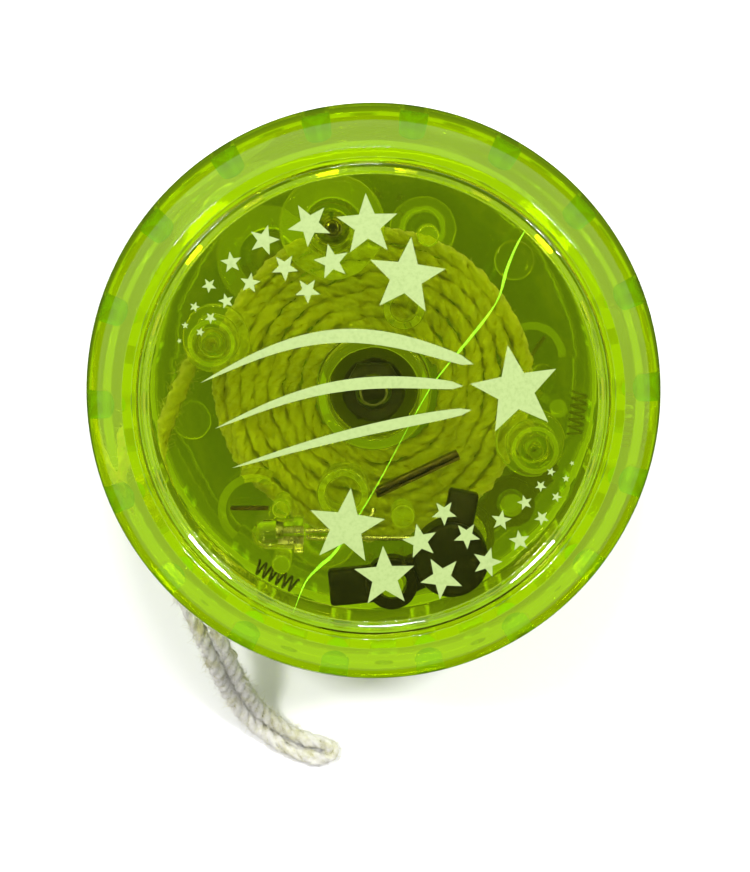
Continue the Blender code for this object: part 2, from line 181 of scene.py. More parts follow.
def spun(profile, steps, closed=True):
    """A profile of (radius, z) points turned a full circle about the Z axis."""
    bm = bmesh.new()
    verts = [bm.verts.new((radius * MM, 0, z * MM)) for radius, z in profile]
    pairs = list(zip(verts, verts[1:]))
    if closed:
        pairs.append((verts[-1], verts[0]))
    edges = [bm.edges.new(pair) for pair in pairs]
    bmesh.ops.spin(bm, geom=verts + edges, cent=(0, 0, 0), axis=(0, 0, 1), dvec=(0, 0, 0),
                   angle=math.tau, steps=steps, use_merge=False, use_duplicate=False)
    bmesh.ops.remove_doubles(bm, verts=bm.verts, dist=0.0005 * MM)
    bmesh.ops.recalc_face_normals(bm, faces=bm.faces)
    return bm


def turned(corners, steps=48, closed=False):
    return spun(filleted(corners, closed), steps, closed)


def prism(outline, bottom, top):
    """A closed outline of (x, y) points, raised from bottom to top."""
    bm = bmesh.new()
    face = bm.faces.new([bm.verts.new((x * MM, y * MM, bottom * MM)) for x, y in outline])
    raised = bmesh.ops.extrude_face_region(bm, geom=[face])["geom"]
    lifted = [item for item in raised if isinstance(item, bmesh.types.BMVert)]
    bmesh.ops.translate(bm, verts=lifted, vec=(0, 0, (top - bottom) * MM))
    bmesh.ops.recalc_face_normals(bm, faces=bm.faces)
    return bm


def bar(start, end, width, bottom, top):
    """An upright-sided bar between two (x, y) points."""
    start, end = Vector(start), Vector(end)
    side = (end - start).normalized().orthogonal() * width / 2
    return prism([tuple(p) for p in (start - side, end - side, end + side, start + side)],
                 bottom, top)


def arc_wall(centre, inner, outer, first, last, bottom, top, steps=40):
    """An upright wall that follows part of a circle."""
    angles = [math.radians(first + (last - first) * i / steps) for i in range(steps + 1)]
    outside = [(centre[0] + outer * math.cos(a), centre[1] + outer * math.sin(a)) for a in angles]
    inside = [(centre[0] + inner * math.cos(a), centre[1] + inner * math.sin(a)) for a in angles]
    return prism(outside + inside[::-1], bottom, top)


def moved(bm, matrix):
    bmesh.ops.transform(bm, matrix=matrix, verts=bm.verts)
    return bm


def at(bm, x, y, z=0.0):
    return moved(bm, Matrix.Translation((x * MM, y * MM, z * MM)))


def polar(radius, degrees):
    return radius * math.cos(math.radians(degrees)), radius * math.sin(math.radians(degrees))


def smoothed(mesh, sharp=32):
    mesh.shade_smooth()
    mesh.set_sharp_from_angle(angle=math.radians(sharp))
    return mesh


def finished(bm, name):
    mesh = bpy.data.meshes.new(name)
    bm.to_mesh(mesh)
    bm.free()
    return smoothed(mesh)


def gathered(pieces, name):
    """Several closed bodies as one mesh."""
    whole = bmesh.new()
    for piece in pieces:
        part = bpy.data.meshes.new(name)
        piece.to_mesh(part)
        piece.free()
        whole.from_mesh(part)
        bpy.data.meshes.remove(part)
    return finished(whole, name)


def linked(name, data):
    obj = bpy.data.objects.new(name, data)
    scene.collection.objects.link(obj)
    return obj


def evaluated(obj, name):
    bpy.context.view_layer.update()
    graph = bpy.context.evaluated_depsgraph_get()
    mesh = bpy.data.meshes.new_from_object(obj.evaluated_get(graph))
    mesh.name = name
    bpy.data.objects.remove(obj)
    return mesh


def combined(base, steps, name):
    """The base mesh after a list of (operation, mesh) Boolean steps."""
    body = linked(name, base)
    tools = []
    for operation, mesh in steps:
        tool = linked(name + "_tool", mesh)
        tools.append(tool)
        modifier = body.modifiers.new(operation, "BOOLEAN")
        modifier.operation = operation
        modifier.object = tool
    mesh = evaluated(body, name)
    for tool in tools:
        bpy.data.objects.remove(tool)
    return smoothed(mesh)


def bevelled(mesh, width, name):
    """The mesh with its sharp corners rounded off."""
    body = linked(name, mesh)
    modifier = body.modifiers.new("bevel", "BEVEL")
    modifier.width = width * MM
    modifier.segments = 3
    modifier.limit_method = "ANGLE"
    modifier.angle_limit = math.radians(40)
    return smoothed(evaluated(body, name))


def swept(points, radius, name, resolution=4):
    """A round rod along a list of points, in mm."""
    curve = bpy.data.curves.new(name, "CURVE")
    curve.dimensions = "3D"
    curve.bevel_depth = radius * MM
    curve.bevel_resolution = resolution
    curve.use_fill_caps = True
    spline = curve.splines.new("POLY")
    spline.points.add(len(points) - 1)
    for target, point in zip(spline.points, points):
        target.co = (*(value * MM for value in point), 1)
    return smoothed(evaluated(linked(name, curve), name), 50)


def smooth_route(points, pieces):
    """Points on a smooth curve that passes through every given point."""
    knots = [Vector(point) for point in points]
    knots = [knots[0] * 2 - knots[1]] + knots + [knots[-1] * 2 - knots[-2]]
    route = []
    for before, start, end, after in zip(knots, knots[1:], knots[2:], knots[3:]):
        for i in range(pieces):
            t = i / pieces
            route.append(0.5 * (2 * start + (end - before) * t
                                + (2 * before - 5 * start + 4 * end - after) * t * t
                                + (3 * start - before - 3 * end + after) * t * t * t))
    route.append(knots[-2])
    return route


# ---------------------------------------------------------------- materials

def new_material(name):
    made = bpy.data.materials.new(name)
    made.use_nodes = True
    tree = made.node_tree
    return made, tree, tree.nodes["Principled BSDF"]


def coordinates(tree):
    return tree.nodes.new("ShaderNodeTexCoord").outputs["Object"]


def noise_node(tree, scale, detail=4.0, roughness=0.6, source=None):
    node = tree.nodes.new("ShaderNodeTexNoise")
    node.inputs["Scale"].default_value = scale
    node.inputs["Detail"].default_value = detail
    node.inputs["Roughness"].default_value = roughness
    tree.links.new(source or coordinates(tree), node.inputs["Vector"])
    return node.outputs["Fac"]


def ramp(tree, source, stops):
    """A colour ramp with (place, colour) stops."""
    node = tree.nodes.new("ShaderNodeValToRGB")
    elements = node.color_ramp.elements
    while len(elements) < len(stops):
        elements.new(0.5)
    for element, (place, color) in zip(elements, stops):
        element.position = place
        element.color = (*color, 1) if len(color) == 3 else color
    tree.links.new(source, node.inputs["Fac"])
    return node.outputs["Color"]


def grey(value):
    return (value, value, value)


def bump(tree, shader, height, strength, distance):
    node = tree.nodes.new("ShaderNodeBump")
    node.inputs["Strength"].default_value = strength
    node.inputs["Distance"].default_value = distance
    tree.links.new(height, node.inputs["Height"])
    tree.links.new(node.outputs["Normal"], shader.inputs["Normal"])


# Colour of the painted glow that the lime plastic gives off inside itself.
PAINTED_GLOW_COLOR = (0.73, 1.0, 0.010, 1)


def clear_plastic(name, tint, absorb_color, density, painted_glow=0.0, roughness=(0.012, 0.05)):
    """Tinted clear moulding, faintly rippled and rubbed; its colour deepens with thickness, and so
    does a painted glow, a volume emission that stands in for light carried through the plastic.
    """
    made, tree, shader = new_material(name)
    shader.inputs["Base Color"].default_value = (*tint, 1)
    shader.inputs["Transmission Weight"].default_value = 1.0
    shader.inputs["IOR"].default_value = 1.49
    rub = noise_node(tree, 420.0, 2.0, 0.6, coordinates(tree))
    rough = ramp(tree, rub, [(0.5, grey(roughness[0])), (0.8, grey(roughness[1]))])
    tree.links.new(rough, shader.inputs["Roughness"])
    bump(tree, shader, rub, 0.05, 0.0002)
    absorb = tree.nodes.new("ShaderNodeVolumeAbsorption")
    absorb.inputs["Color"].default_value = (*absorb_color, 1)
    absorb.inputs["Density"].default_value = density
    volume = absorb.outputs["Volume"]
    # Painted glow: the volume gives off its own lime light, though the plastic holds no lamp.
    if painted_glow:
        painted_shine = tree.nodes.new("ShaderNodeEmission")
        painted_shine.inputs["Color"].default_value = PAINTED_GLOW_COLOR
        painted_shine.inputs["Strength"].default_value = painted_glow
        both = tree.nodes.new("ShaderNodeAddShader")
        tree.links.new(volume, both.inputs[0])
        tree.links.new(painted_shine.outputs["Emission"], both.inputs[1])
        volume = both.outputs["Shader"]
    tree.links.new(volume, tree.nodes["Material Output"].inputs["Volume"])
    return made


def metal(name, color, low, high, scale=900.0, strength=0.08):
    """Metal with fine rubbing in its gloss and slight staining in its colour."""
    made, tree, shader = new_material(name)
    shader.inputs["Metallic"].default_value = 1.0
    place = coordinates(tree)
    stain = noise_node(tree, scale * 0.3, 4.0, 0.6, place)
    tree.links.new(ramp(tree, stain, [(0.35, tuple(c * 0.8 for c in color)), (0.65, color)]),
                   shader.inputs["Base Color"])
    rub = noise_node(tree, scale, 6.0, 0.7, place)
    tree.links.new(ramp(tree, rub, [(0.3, grey(low)), (0.75, grey(high))]),
                   shader.inputs["Roughness"])
    bump(tree, shader, rub, strength, 0.0001)
    return made


def solid_plastic(name, dark, light, roughness):
    """Opaque plastic with an uneven tone and a fine grain."""
    grain, strength = 1200.0, 0.15
    made, tree, shader = new_material(name)
    shader.inputs["Specular IOR Level"].default_value = 0.2
    place = coordinates(tree)
    tone = noise_node(tree, grain * 0.25, 4.0, 0.6, place)
    tree.links.new(ramp(tree, tone, [(0.3, dark), (0.7, light)]), shader.inputs["Base Color"])
    fine = noise_node(tree, grain, 5.0, 0.6, place)
    tree.links.new(ramp(tree, fine, [(0.3, grey(roughness - 0.08)), (0.8, grey(roughness + 0.1))]),
                   shader.inputs["Roughness"])
    bump(tree, shader, fine, strength, 0.0001)
    return made


def cotton_material():
    """Fuzzy cotton: off-white yarn with random olive-yellow blotches, turned olive by painted shade
    in the grooves between plies.
    """
    made, tree, shader = new_material("twisted_cotton")
    place = coordinates(tree)
    shader.inputs["Roughness"].default_value = 0.95
    shader.inputs["Specular IOR Level"].default_value = 0.1
    shader.inputs["Sheen Weight"].default_value = 0.4
    shader.inputs["Sheen Roughness"].default_value = 0.5
    crease_shade = tree.nodes.new("ShaderNodeAttribute")
    crease_shade.attribute_name = "crease_shade"
    grain = noise_node(tree, 1500.0, 6.0, 0.8, place)
    # Painted shade: the per-point shade amount plus the grain darkens the yarn to olive through the
    # ramp below.
    depth = tree.nodes.new("ShaderNodeMath")
    depth.operation = "MULTIPLY_ADD"
    depth.inputs[1].default_value = 0.65
    tree.links.new(grain, depth.inputs[0])
    tree.links.new(crease_shade.outputs["Fac"], depth.inputs[2])
    base = ramp(tree, depth.outputs["Value"],
                [(0.45, (0.95, 0.93, 0.86)), (0.75, (0.86, 0.84, 0.68)), (0.95, (0.64, 0.61, 0.33)),
                 (1.0, (0.36, 0.34, 0.13))])
    blotch = noise_node(tree, 300.0, 4.0, 0.65, place)
    tint = ramp(tree, blotch, [(0.34, (0.66, 0.64, 0.26)), (0.50, (1.0, 1.0, 1.0))])
    mix = tree.nodes.new("ShaderNodeMix")
    mix.data_type = "RGBA"
    mix.blend_type = "MULTIPLY"
    mix.inputs["Factor"].default_value = 0.8
    tree.links.new(base, mix.inputs["A"])
    tree.links.new(tint, mix.inputs["B"])
    tree.links.new(mix.outputs["Result"], shader.inputs["Base Color"])
    bump(tree, shader, grain, 1.0, 0.0005)
    return made


def print_material():
    made, tree, shader = new_material("face_print")
    place = coordinates(tree)
    speckle = noise_node(tree, 2600.0, 5.0, 0.7, place)
    tree.links.new(ramp(tree, speckle, [(0.3, (0.21, 0.29, 0.08)), (0.55, (0.26, 0.345, 0.11))]),
                   shader.inputs["Base Color"])
    shader.inputs["Roughness"].default_value = 0.55
    bump(tree, shader, speckle, 0.2, 0.00005)
    return made


def crack_painted_light_material():
    """The bright edge of a hairline crack, painted: a bright lime colour and a faint glow stand in
    for the light that the tinted plastic lets out there.
    """
    made, tree, shader = new_material("hairline_glow")
    place = coordinates(tree)
    vary = noise_node(tree, 400.0, 3.0, 0.5, place)
    # Painted highlight: a bright lime colour and, below, a faint painted glow give the crack's edge
    # its light.
    tree.links.new(ramp(tree, vary, [(0.3, (0.28, 0.80, 0.02)), (0.7, (0.5, 1.0, 0.06))]),
                   shader.inputs["Base Color"])
    shader.inputs["Roughness"].default_value = 0.4
    shader.inputs["Emission Color"].default_value = (0.3, 0.95, 0.03, 1)
    shader.inputs["Emission Strength"].default_value = 0.5
    return made


LIME_TINT = (0.96, 1.0, 0.70)
# Painted shade: the rim pockets' walls get this darker green so the recesses read dark.
POCKET_PAINTED_SHADE_TINT = (0.28, 0.50, 0.11)
LIME_ABSORB = (0.954, 0.970, 0.0)
LIME_DENSITY = 900.0
# Strengths of the painted glow in the shells and in the caps.
SHELL_PAINTED_GLOW = 30.0
CAP_PAINTED_GLOW = 9.0
lime = clear_plastic("lime_plastic", LIME_TINT, LIME_ABSORB, LIME_DENSITY, SHELL_PAINTED_GLOW)
pocket_shade_lime = clear_plastic("lime_pocket_painted_shade", POCKET_PAINTED_SHADE_TINT, LIME_ABSORB, LIME_DENSITY,
                            SHELL_PAINTED_GLOW, (0.12, 0.2))
lime_cap = clear_plastic("lime_cap_plastic", LIME_TINT, LIME_ABSORB, LIME_DENSITY, CAP_PAINTED_GLOW,
                         (0.02, 0.09))
epoxy = clear_plastic("clear_epoxy", (0.985, 0.99, 0.97), (0.95, 0.97, 0.90), 15.0)
steel = metal("tinned_steel", (0.62, 0.62, 0.58), 0.18, 0.4)
spring_steel = metal("spring_steel", (0.10, 0.10, 0.09), 0.3, 0.5)
washer_steel = metal("blued_steel", (0.06, 0.06, 0.055), 0.25, 0.45)
chrome = metal("polished_steel", (0.30, 0.30, 0.29), 0.04, 0.12, 1500.0, 0.03)
# Painted shade: the bronze is near black so the contact strip and blade read as dark, shadowed
# lines.
shaded_bronze = metal("phosphor_bronze", (0.14, 0.11, 0.06), 0.3, 0.5)
nickel = metal("nickel_can", (0.66, 0.66, 0.63), 0.2, 0.35)
black = solid_plastic("black_plastic", (0.003, 0.003, 0.003), (0.008, 0.008, 0.008), 0.4)
cotton = cotton_material()
face_print = print_material()
crack = crack_painted_light_material()


# ---------------------------------------------------------------- placing pieces

def place_piece(name, mesh, finish, body, stands_for=(), matrix=None):
    mesh = mesh.copy()
    if not mesh.materials:
        mesh.materials.append(finish)
    if matrix is not None:
        mesh.transform(matrix)
    obj = linked(name, mesh)
    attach(obj, body)
    if stands_for:
        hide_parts(*stands_for)
    return obj


def place_pair(piece, mesh, finish, stands_for=None, body="halves"):
    """The same piece in both halves; each stands for its own CAD node."""
    for side, matrix in SIDES.items():
        nodes = (f"{side}_{stands_for}",) if stands_for else ()
        rider = body if body == "halves" else f"{side}_{body}"
        place_piece(f"{side}_{piece}", mesh, finish, rider, nodes, matrix)


# ---------------------------------------------------------------- the moulded halves

RIM_POCKETS = 18
RIM_POCKET_PHASE = 1.8
RIM_POCKET_WIDTH = 2.6
RIM_POCKET_INNER = 24.1
RIM_POCKET_OUTER = 26.6
RIM_POCKET_DEPTH = 11.0
GRIP_RIBS = 24


def rim_pocket(angle):
    """A blind pocket in the rim, with its round end towards the axle."""
    half, outer, corner = RIM_POCKET_WIDTH / 2, RIM_POCKET_OUTER, 0.35
    arc = [math.radians(90 + 180 * i / 14) for i in range(15)]
    outline = [(outer - corner, -half), (outer, -half + corner), (outer, half - corner),
               (outer - corner, half)]
    outline += [(RIM_POCKET_INNER + half + half * math.cos(a), half * math.sin(a)) for a in arc]
    return moved(prism(outline, 0, RIM_POCKET_DEPTH),
                 Matrix.Rotation(math.radians(angle), 4, "Z"))


def shell_mesh():
    outer_wall = smooth_route([(27.6, 3.4), (RIM_RADIUS, 5.0), (RIM_RADIUS, 6.6), (28.3, 9.0),
                               (27.9, 12.0), (27.5, 13.9), (26.9, 15.1), (26.1, 15.9),
                               (25.2, 16.35), (24.6, 16.7)], 5)
    outer_wall = [(min(point.x, RIM_RADIUS), point.y) for point in outer_wall]
    gap_side = [(BORE_RADIUS, GAP_FACE), (20.0, GAP_FACE), (22.0, GAP_FACE + 0.08),
                (24.0, GAP_FACE + 0.32), (25.5, 2.7), (26.7, 3.0)]
    inside = filleted([
        (24.6, 16.7, 0), (LIP_RADIUS, HALF_WIDTH, 0.2), (SEAT_RADIUS, HALF_WIDTH, 0.18),
        (SEAT_RADIUS, LEDGE_Z, 0.1), (CAVITY_RADIUS, LEDGE_Z, 0.12), (CAVITY_RADIUS, FLOOR, 0.5),
        (HUB_OUTER, FLOOR, 0.25), (HUB_OUTER, HUB_TOP, 0.2), (HUB_INNER, HUB_TOP, 0.2),
        (HUB_INNER, FLOOR, 0.2),
        (BORE_RADIUS, FLOOR, 0)], closed=False)
    bowl = finished(spun(gap_side + outer_wall[:-1] + inside, 192), "bowl")
    bowl.materials.append(lime)
    bowl.materials.append(pocket_shade_lime)

    bore = PEG_RADIUS + FIT_GAP
    socket = [(0, ROOT, 0), (3.4, ROOT, 0), (3.4, 6.0, 0.3), (2.35, 6.0, 0.2),
              (2.35, SOCKET_TOP, 0.15), (bore, SOCKET_TOP, 0.15), (bore, FLOOR, 0.2),
              (0, FLOOR, 0)]
    features = [at(turned(socket), *polar(PEG_CIRCLE, angle)) for angle in PEG_ANGLES]
    pocket = [(2.9, ROOT, 0), (5.2, ROOT, 0), (5.2, 8.0, 0.3), (2.9, 8.0, 0.3)]
    features.append(at(turned(pocket, 72, True), *polar(BALL_CIRCLE, BALL_ANGLE)))

    def post(radius, top, x, y):
        return at(turned([(0, ROOT, 0), (radius, ROOT, 0), (radius, top, 0.25), (0, top, 0)], 32),
                  x, y)

    def tube(inner, outer, top, x, y):
        corners = [(inner, ROOT, 0), (outer, ROOT, 0), (outer, top, 0.15), (inner, top, 0.15)]
        return at(turned(corners, 40, True), x, y)

    led_y = LED_BASE[1]
    features += [post(0.95, 10.0, -9.1, led_y - 2.75), post(0.95, 10.0, -9.1, led_y + 2.75),
                 post(1.2, 9.0, 2.9, -12.2), post(1.1, 10.0, 5.35, 15.5),
                 post(1.2, 10.2, *EYE_CENTRE), post(2.0, 4.6, 14.0, 12.9)]
    features += [tube(1.75, 2.55, 10.0, -3.0, -9.9), tube(1.3, 2.1, 8.0, 3.0, 8.3)]
    features.append(bar((-9.1, led_y - 1.5), (-9.1, led_y + 1.5), 0.8, ROOT, 6.2))
    features.append(arc_wall(SHELTER_CENTRE, 2.75, 3.55, 60, 235, ROOT, 9.6))
    # Radial ribs round the hub, on the string's side, that the string grips.
    ribs = [moved(bar((6.4, 0), (11.2, 0), 0.3, GAP_FACE - 0.22, GAP_FACE + 0.3),
                  Matrix.Rotation(math.tau * i / GRIP_RIBS, 4, "Z")) for i in range(GRIP_RIBS)]
    pockets = gathered([rim_pocket(RIM_POCKET_PHASE + 360 * i / RIM_POCKETS)
                        for i in range(RIM_POCKETS)], "pockets")
    pockets.materials.append(lime)
    pockets.materials.append(pocket_shade_lime)
    # Every pocket face takes the darker second slot: painted shade in the recesses.
    pockets.polygons.foreach_set("material_index", [1] * len(pockets.polygons))
    return combined(bowl, [("UNION", gathered(features, "features")),
                           ("UNION", gathered(ribs, "ribs")),
                           ("DIFFERENCE", pockets)], "shell")


def cap_mesh():
    plate = finished(spun(filleted([
        (0, PANEL_BOTTOM, 0), (CAP_RADIUS, PANEL_BOTTOM, 0.12), (CAP_RADIUS, CAP_TOP - 0.25, 0.2),
        (CAP_RADIUS - 0.25, CAP_TOP - 0.03, 0.2), (CAP_RADIUS - 0.55, CAP_TOP, 0.2),
        (PANEL_RADIUS + 0.25, CAP_TOP - 0.12, 0.2), (PANEL_RADIUS, PANEL_Z, 0.15),
        (0, PANEL_Z, 0)], closed=False), 192, False), "plate")
    root = PANEL_BOTTOM + 0.4
    peg = [(0, 14.2, 0), (PEG_HOLE_RADIUS, 14.2, 0.3), (PEG_HOLE_RADIUS, PEG_END, 0.15),
           (PEG_RADIUS, PEG_END, 0.3), (PEG_RADIUS, root, 0), (0, root, 0)]
    features = [at(turned(peg), *polar(PEG_CIRCLE, angle)) for angle in PEG_ANGLES]
    keeper = [(BALL_TUBE_INNER, 8.3, 0.15), (BALL_TUBE_OUTER, 8.3, 0.15),
              (BALL_TUBE_OUTER, root, 0), (BALL_TUBE_INNER, root, 0)]
    features.append(at(turned(keeper, 48, True), *polar(BALL_CIRCLE, BALL_ANGLE)))
    return combined(plate, [("UNION", gathered(features, "features"))], "cap")


place_pair("half_shell", shell_mesh(), lime, "shell")
place_pair("printed_cap", cap_mesh(), lime_cap, "face_cap")


# ---------------------------------------------------------------- the print on the faces

PRINT_BOTTOM = PANEL_Z + 0.01
PRINT_TOP = PANEL_Z + 0.05


def star(radius, x, y, turn):
    """A five-pointed star."""
    outline = []
    for i in range(10):
        reach = radius if i % 2 == 0 else radius * 0.42
        outline.append((x + reach * math.cos(math.radians(turn + 36 * i)),
                        y + reach * math.sin(math.radians(turn + 36 * i))))
    return prism(outline, PRINT_BOTTOM, PRINT_TOP)


def star_row(count, angle, step, step_ratio, circle, inset, inset_ratio, size, size_ratio,
             half_turn):
    """Stars that shrink and close up along a curve that nears a circle."""
    stars = []
    for i in range(count):
        x, y = polar(circle - inset * inset_ratio ** i, angle + half_turn)
        stars.append(star(size * size_ratio ** i, x, y, angle * 0.6 + 17 * i + 38))
        angle += step * step_ratio ** i
    return stars


def swoosh(start, end, bulge, width):
    """A long tapered crescent: two curves between the same tips."""
    start, end = Vector(start), Vector(end)
    along = end - start
    side = Vector((-along.y, along.x)).normalized()
    upper, lower = [], []
    for i in range(25):
        t = i / 24
        middle = start + along * t + side * bulge * math.sin(math.pi * t)
        thick = side * width / 2 * (t ** 0.8 * (1 - t) ** 0.35 * 1.9)
        upper.append(middle + thick)
        lower.append(middle - thick)
    outline = upper + lower[-2:0:-1]
    return prism([tuple(point) for point in outline], PRINT_BOTTOM, PRINT_TOP)


def print_mesh():
    """Two star trails, half a turn apart, and a comet across the middle."""
    shapes = []
    for half_turn in (0, 180):
        first = len(shapes)
        shapes += star_row(8, 92, 18, 0.8, 19.5, 2.8, 0.6, 3.05, 0.70, half_turn)
        shapes += star_row(6, 106.8, 17, 0.75, 18.6, 4.8, 0.7, 1.75, 0.76, half_turn)
        shapes += star_row(2, 75.1, 46, 1.0, 12.2, 0.0, 1.0, 3.8, 0.33, half_turn)
        if half_turn:
            for shape in shapes[first:]:
                at(shape, 0.5, -0.5)
    shapes.append(swoosh((-16.6, 1.6), (9.6, 3.4), 3.6, 1.5))
    shapes.append(swoosh((-15.2, -2.8), (8.6, 1.3), 2.0, 1.25))
    shapes.append(swoosh((-13.6, -6.6), (9.4, -1.0), 0.5, 1.1))
    shapes.append(star(4.4, 13.6, 0.9, 100))
    return gathered(shapes, "print")


place_pair("face_print", print_mesh(), face_print)


def hairline_mesh():
    """A hairline crack that runs across the upper cap, as a thin sliver inside the plate."""
    route = smooth_route([(14.6, 16.4), (13.6, 14.6), (12.7, 12.3), (12.0, 9.8), (10.6, 7.6),
                          (8.2, 4.6), (5.8, 1.6), (3.6, -2.2), (0.4, -8.2), (-3.4, -14.4),
                          (-5.2, -16.2), (-6.6, -17.8), (-7.8, -20.8)], 5)
    left, right = [], []
    for i, point in enumerate(route):
        ahead = route[min(i + 1, len(route) - 1)] - route[max(i - 1, 0)]
        side = Vector((-ahead.y, ahead.x)).normalized()
        share = i / (len(route) - 1)
        width = 0.05 + 0.07 * abs(math.sin(9.0 * share + 0.6)) + 0.02 * math.sin(41 * share)
        width *= min(1.0, 8 * share, 8 * (1 - share)) + 0.15
        width *= 0.35 if 0.42 < share < 0.72 else 1.0
        left.append(tuple(point + side * width))
        right.append(tuple(point - side * width))
    return finished(prism(left + right[::-1], PANEL_BOTTOM + 0.25, PANEL_BOTTOM + 0.45), "hairline")


place_piece("upper_cap_hairline", hairline_mesh(), crack, "halves",
            matrix=SIDES["upper"])


# ---------------------------------------------------------------- the light module

def on_side(bm):
    """A piece turned about Z laid down along -X, with its foot at the lamp's base."""
    return at(moved(bm, Matrix.Rotation(math.radians(-90), 4, "Y")), *LED_BASE)


def led_lens_mesh():
    dome = [(LED_RADIUS * math.cos(a), LED_BARREL_TOP + LED_RADIUS * math.sin(a))
            for a in (math.radians(90 * i / 14) for i in range(15))]
    foot = filleted([(0, 0, 0), (LED_FLANGE_RADIUS, 0, 0.12), (LED_FLANGE_RADIUS, 1.0, 0.12),
                     (LED_RADIUS, 1.0, 0.08), (LED_RADIUS, LED_BARREL_TOP, 0)], closed=False)
    return finished(on_side(spun(foot[:-1] + dome, 64, False)), "led_lens")


def led_frame_mesh():
    """The lead frame inside the lamp: reflector cup on its post, and the bond post."""
    cup = turned([(0, 2.0, 0), (0.62, 2.0, 0.1), (0.78, 2.75, 0.05), (0.6, 2.75, 0.05),
                  (0.38, 2.35, 0.05), (0, 2.35, 0)], 32)
    parts = [on_side(at(cup, 0.4, 0.4))]
    x, y, z = LED_BASE
    parts.append(bar((x - 0.15, y + 0.4), (x - 2.0, y + 0.4), 0.45, z + 0.15, z + 0.6))
    parts.append(bar((x - 0.15, y - 0.4), (x - 2.5, y - 0.4), 0.45, z - 0.6, z - 0.15))
    return gathered(parts, "led_frame")


def lead_mesh(points, name):
    """A round tinned wire with a slight wander."""
    return swept([tuple(p) for p in smooth_route(points, 8)], LEAD_RADIUS, name, 3)


def lead_meshes():
    x, y, z = LED_BASE
    start = x + 0.15
    low = [(start, y - 0.4, z - 0.4), (x + 2.2, y - 0.46, z - 0.42), (x + 5.0, y - 0.36, z - 0.36),
           (x + 8.2, y - 0.44, z - 0.4), (4.0, y - 0.4, z - 0.4)]
    high = [(start, y + 0.4, z + 0.4), (x + 2.6, y + 0.44, z + 0.42), (-1.9, y + 0.4, z + 0.4),
            (-0.8, y + 1.0, z + 0.38), (-0.2, y + 1.9, z + 0.3), (-0.05, y + 2.6, z + 0.1)]
    return lead_mesh(low, "lead_low"), lead_mesh(high, "lead_high")


def holder_mesh():
    """The black cell holder: a cup over the cells, an eye on its post, a tongue and an arm."""
    def arm(start, end, width, bottom, top, name):
        return bevelled(finished(bar(start, end, width, bottom, top), name), 0.35, name)

    def drum(radius, bottom, top, fillet, centre, name):
        return finished(at(turned([(0, bottom, 0), (radius, bottom, 0.1), (radius, top, fillet),
                                   (0, top, 0)], 64), *centre), name)

    cup = drum(HOLDER_OUTER, 4.0, 9.8, 0.5, CELL_CENTRE, "cup")
    return combined(cup, [
        ("UNION", arm(CELL_CENTRE, EYE_CENTRE, 3.4, 6.0, 9.0, "arm")),
        ("UNION", arm(CELL_CENTRE, (9.0, -9.8), 3.0, 6.2, 8.8, "upper_arm")),
        ("UNION", arm(EYE_CENTRE, (-4.4, -19.5), 3.6, 6.4, 8.6, "tongue")),
        ("UNION", drum(2.6, 5.8, 9.2, 0.3, EYE_CENTRE, "eye")),
        ("DIFFERENCE", drum(HOLDER_INNER, 0.0, 9.1, 0.2, CELL_CENTRE, "cells")),
        ("DIFFERENCE", drum(1.5, 0.0, 20.0, 0.1, EYE_CENTRE, "eye_hole"))], "holder")


def cell_mesh(bottom):
    """A button cell: rolled can, insulating step and smaller lid."""
    corners = [(0, bottom, 0), (CELL_RADIUS, bottom, 0.15), (CELL_RADIUS, bottom + 1.55, 0.25),
               (2.5, bottom + 1.62, 0.05), (2.4, bottom + 1.72, 0.05),
               (2.3, bottom + CELL_THICKNESS, 0.2), (0, bottom + CELL_THICKNESS, 0)]
    return finished(at(turned(corners, 56), *CELL_CENTRE), "cell")


def channel_mesh():
    """The long contact: a strip folded up along both sides."""
    start, end = Vector((0.2, -10.1)), Vector((8.4, -6.2))
    body = bevelled(finished(bar(start, end, 0.9, 6.0, 8.0), "channel"), 0.08, "channel")
    past = (end - start).normalized()
    groove = finished(bar(start - past, end + past, 0.42, 6.4, 9.0), "groove")
    return combined(body, [("DIFFERENCE", groove)], "channel")


def blade_mesh():
    return bevelled(finished(bar((-14.2, -11.6), (-10.45, -11.6), 0.33, 6.2, 7.6), "blade"),
                    0.08, "blade")


def spring_mesh():
    per_turn, turns, half_length, radius, wire = 28, 6, 2.2, 0.7, 0.13
    count = turns * per_turn
    coil = []
    for i in range(count + 1):
        angle = math.tau * i / per_turn
        coil.append((half_length * (2 * i / count - 1), radius * math.cos(angle),
                     radius * math.sin(angle)))
    mesh = swept(coil, wire, "spring", 2)
    centre = Vector((-9.79, -18.8, FLOOR + FIT_GAP + radius + wire)) * MM
    direction = math.atan2(centre.y, centre.x) + math.pi / 2
    mesh.transform(Matrix.Translation(centre) @ Matrix.Rotation(direction, 4, "Z"))
    return mesh


place_pair("led_lens", led_lens_mesh(), epoxy, "led")
place_pair("led_frame", led_frame_mesh(), steel)
lead_low, lead_high = lead_meshes()
place_pair("led_lead_low", lead_low, steel, "led_lead_to_cells")
place_pair("led_lead_high", lead_high, steel, "led_lead_to_strip")
place_pair("black_cell_holder", holder_mesh(), black, "cell_holder")
place_pair("inner_cell", cell_mesh(4.2), nickel, "inner_button_cell")
place_pair("outer_cell", cell_mesh(6.6), nickel, "outer_button_cell")
place_pair("long_contact", channel_mesh(), shaded_bronze, "contact_strip")
place_pair("blade", blade_mesh(), shaded_bronze, "switch_blade")
place_pair("coil_spring", spring_mesh(), spring_steel, "switch_spring")


